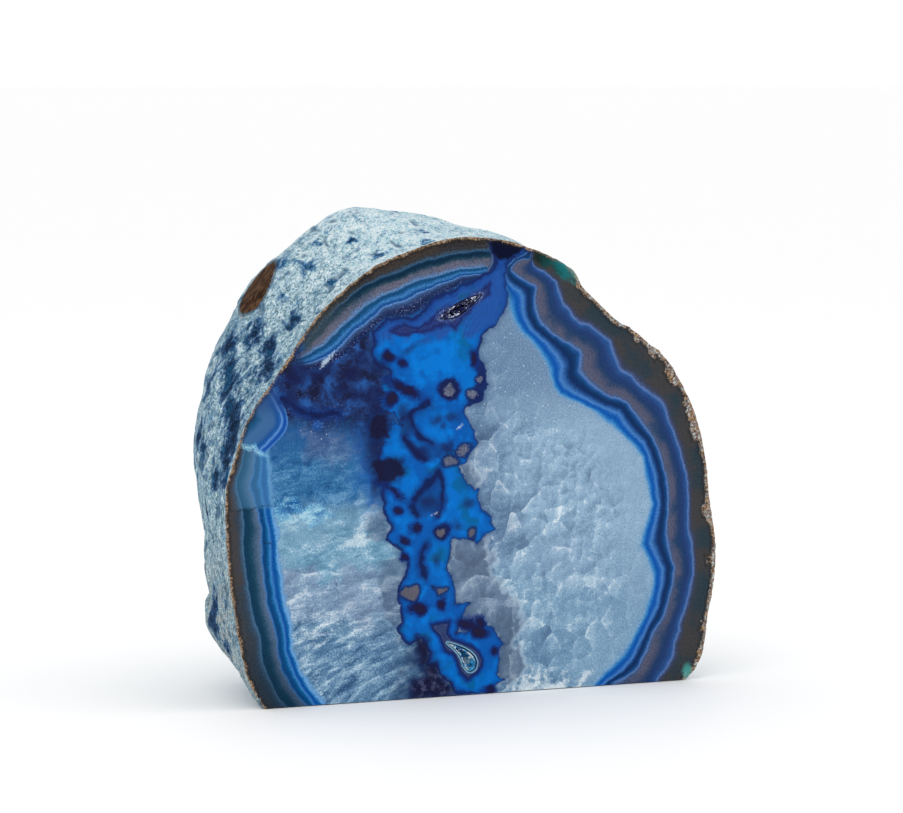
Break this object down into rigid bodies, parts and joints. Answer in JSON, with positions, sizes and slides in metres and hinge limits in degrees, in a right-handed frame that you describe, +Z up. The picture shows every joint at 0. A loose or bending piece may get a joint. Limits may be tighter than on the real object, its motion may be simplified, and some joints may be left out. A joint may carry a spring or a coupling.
{
  "type": "geode half",
  "caption": "Half of a blue-dyed agate geode, sawn and polished across its banded face and sawn flat underneath so that it stands, with a lumpy pale rind behind.",
  "frame": {"origin": "on the sawn base, under the middle of the stone's box", "axes": "+Z up from the sawn base, -Y out of the polished face, +X to the right when looking at the polished face"},
  "size_m": [0.1204, 0.0622, 0.1069],
  "materials": {
    "agate": "polished face, rough pale rind, sawn base",
    "violet_quartz": "small glassy crystals",
    "blue_quartz": "small glassy crystals"
  },
  "bodies": {
    "root": {"geode_half": "agate", "upper_pocket_crystals": "violet_quartz", "lower_pocket_crystals": "blue_quartz"}
  },
  "joints": []
}
